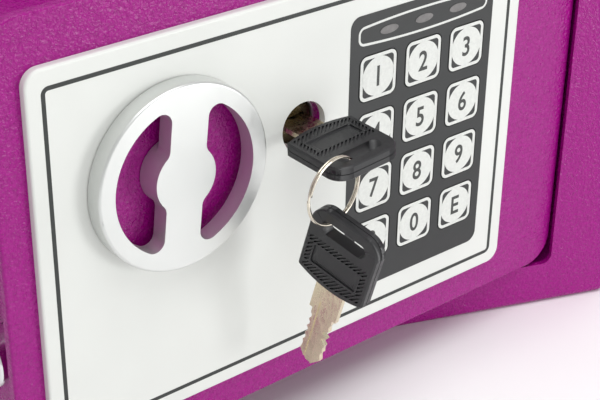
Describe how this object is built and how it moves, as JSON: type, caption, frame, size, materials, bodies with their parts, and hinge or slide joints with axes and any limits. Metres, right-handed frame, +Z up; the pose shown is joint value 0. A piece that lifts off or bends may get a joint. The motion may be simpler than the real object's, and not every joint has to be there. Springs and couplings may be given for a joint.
{
  "type": "electronic money safe",
  "caption": "Small steel money safe with a hinged keypad door standing ajar, turn knob with sliding bolts, override lock and two keys on a split ring.",
  "frame": {"origin": "centre of the base, on the surface the safe stands on", "axes": "+Z up, -Y out of the front with the door, +X to the right seen from the front"},
  "size_m": [0.3, 0.2948, 0.2],
  "materials": {
    "body_paint": "textured powder coat",
    "zinc_steel": "zinc plated",
    "chrome": "polished",
    "carpet": "short pile",
    "panel_plastic": "satin",
    "knob_plastic": "fine satin",
    "overlay_black": "matt film",
    "key_face": "matt film",
    "led_lens": "diffusing",
    "silicone": "matt",
    "pcb_green": "solder mask",
    "black_plastic": "moulded",
    "red_plastic": "moulded",
    "brass": "satin",
    "nickel": "nickel plated",
    "copper": "enamelled",
    "battery": "sleeve",
    "spring_steel": "bright",
    "lead_sleeve": "sleeve"
  },
  "bodies": {
    "safe_body": {"body_shell": "body_paint", "back_panel": "body_paint", "jamb_liner": "body_paint", "floor_mat": "carpet", "hinge_pins": "zinc_steel"},
    "door": {"door_plate": "body_paint", "door_inner_frame": "body_paint", "door_back_cover": "body_paint", "back_cover_screws": "zinc_steel", "hinge_lugs": "body_paint", "faceplate": "panel_plastic", "faceplate_nuts": "zinc_steel", "keypad_overlay": "overlay_black", "led_lenses": "led_lens", "keypad_dome_sheet": "silicone", "keypad_pcb": "pcb_green", "buzzer": "black_plastic", "lock_bracket": "zinc_steel", "lock_cylinder": "brass", "lock_nut": "zinc_steel", "battery_tray": "black_plastic", "batteries": "battery", "battery_contacts": "spring_steel", "solenoid_frame": "zinc_steel", "solenoid_coil": "copper", "plunger_spring": "spring_steel", "guide_screws": "zinc_steel", "knob_bush": "silicone", "battery_lead": "lead_sleeve", "solenoid_lead": "lead_sleeve"},
    "turn_knob": {"knob": "knob_plastic", "knob_shaft": "zinc_steel", "shaft_clip": "spring_steel", "crank_arm": "zinc_steel"},
    "bolt_carriage": {"bolt_carrier": "zinc_steel", "locking_bolts": "chrome", "bolt_screws": "zinc_steel"},
    "plunger": {"solenoid_plunger": "zinc_steel"},
    "reset": {"reset_button": "red_plastic"},
    "lid": {"battery_lid": "black_plastic"},
    "lock_barrel": {"lock_plug": "brass", "lock_cam": "zinc_steel", "cam_nut": "zinc_steel"},
    "lock_key": {"lock_key_bow": "black_plastic", "lock_key_blade": "nickel"},
    "key_ring": {"split_ring": "spring_steel"},
    "spare_key": {"spare_key_bow": "black_plastic", "spare_key_blade": "nickel"},
    "button_1": {"key_1": "key_face"},
    "button_2": {"key_2": "key_face"},
    "button_3": {"key_3": "key_face"},
    "button_4": {"key_4": "key_face"},
    "button_5": {"key_5": "key_face"},
    "button_6": {"key_6": "key_face"},
    "button_7": {"key_7": "key_face"},
    "button_8": {"key_8": "key_face"},
    "button_9": {"key_9": "key_face"},
    "button_b": {"key_b": "key_face"},
    "button_0": {"key_0": "key_face"},
    "button_e": {"key_e": "key_face"}
  },
  "joints": [
    {"name": "door_hinge", "type": "hinge", "parent": "safe_body", "child": "door", "pos_m": [0.113, -0.0925, 0.1], "axis": [0, 0, 1], "range_deg": [-20.4, 69.6]},
    {"name": "knob_turn", "type": "hinge", "parent": "door", "child": "turn_knob", "pos_m": [-0.04813, -0.16043, 0.119], "axis": [-0.3486, 0.9373, 0], "range_deg": [-60.1, 0]},
    {"name": "bolt_slide", "type": "slide", "parent": "door", "child": "bolt_carriage", "axis": [0.9373, 0.3486, 0], "range_m": [-0.014, 0]},
    {"name": "plunger_slide", "type": "slide", "parent": "door", "child": "plunger", "axis": [0, 0, 1], "range_m": [-0.006, 0], "deforming": ["plunger_spring"]},
    {"name": "reset_press", "type": "slide", "parent": "door", "child": "reset", "axis": [0.3486, -0.9373, 0], "range_m": [0, 0.002], "stiffness_N_per_m": 200},
    {"name": "battery_lid_pull", "type": "slide", "parent": "door", "child": "lid", "axis": [-0.3486, 0.9373, 0], "range_m": [0, 0.025]},
    {"name": "key_turn", "type": "hinge", "parent": "door", "child": "lock_barrel", "pos_m": [-0.00052, -0.14272, 0.1186], "axis": [-0.3486, 0.9373, 0], "range_deg": [0, 90]},
    {"name": "key_pull", "type": "slide", "parent": "lock_barrel", "child": "lock_key", "axis": [0.3486, -0.9373, 0], "range_m": [0, 0.026]},
    {"name": "ring_turn", "type": "hinge", "parent": "lock_key", "child": "key_ring", "pos_m": [-0.00058, -0.17667, 0.1116], "axis": [0.474, -0.8803, -0.0173], "range_deg": [-25, 25]},
    {"name": "spare_key_swing", "type": "hinge", "parent": "key_ring", "child": "spare_key", "pos_m": [-0.00143, -0.17691, 0.10043], "axis": [0.8508, 0.5255, 0.0017], "range_deg": [-55, 15]},
    {"name": "press_1", "type": "slide", "parent": "door", "child": "button_1", "axis": [-0.3486, 0.9373, 0], "range_m": [0, 0.0006], "stiffness_N_per_m": 400},
    {"name": "press_2", "type": "slide", "parent": "door", "child": "button_2", "axis": [-0.3486, 0.9373, 0], "range_m": [0, 0.0006], "stiffness_N_per_m": 400},
    {"name": "press_3", "type": "slide", "parent": "door", "child": "button_3", "axis": [-0.3486, 0.9373, 0], "range_m": [0, 0.0006], "stiffness_N_per_m": 400},
    {"name": "press_4", "type": "slide", "parent": "door", "child": "button_4", "axis": [-0.3486, 0.9373, 0], "range_m": [0, 0.0006], "stiffness_N_per_m": 400},
    {"name": "press_5", "type": "slide", "parent": "door", "child": "button_5", "axis": [-0.3486, 0.9373, 0], "range_m": [0, 0.0006], "stiffness_N_per_m": 400},
    {"name": "press_6", "type": "slide", "parent": "door", "child": "button_6", "axis": [-0.3486, 0.9373, 0], "range_m": [0, 0.0006], "stiffness_N_per_m": 400},
    {"name": "press_7", "type": "slide", "parent": "door", "child": "button_7", "axis": [-0.3486, 0.9373, 0], "range_m": [0, 0.0006], "stiffness_N_per_m": 400},
    {"name": "press_8", "type": "slide", "parent": "door", "child": "button_8", "axis": [-0.3486, 0.9373, 0], "range_m": [0, 0.0006], "stiffness_N_per_m": 400},
    {"name": "press_9", "type": "slide", "parent": "door", "child": "button_9", "axis": [-0.3486, 0.9373, 0], "range_m": [0, 0.0006], "stiffness_N_per_m": 400},
    {"name": "press_b", "type": "slide", "parent": "door", "child": "button_b", "axis": [-0.3486, 0.9373, 0], "range_m": [0, 0.0006], "stiffness_N_per_m": 400},
    {"name": "press_0", "type": "slide", "parent": "door", "child": "button_0", "axis": [-0.3486, 0.9373, 0], "range_m": [0, 0.0006], "stiffness_N_per_m": 400},
    {"name": "press_e", "type": "slide", "parent": "door", "child": "button_e", "axis": [-0.3486, 0.9373, 0], "range_m": [0, 0.0006], "stiffness_N_per_m": 400}
  ],
  "couplings": [
    {"joint": "knob_turn", "follows": "bolt_slide", "rad_per_m": 74.8}
  ]
}
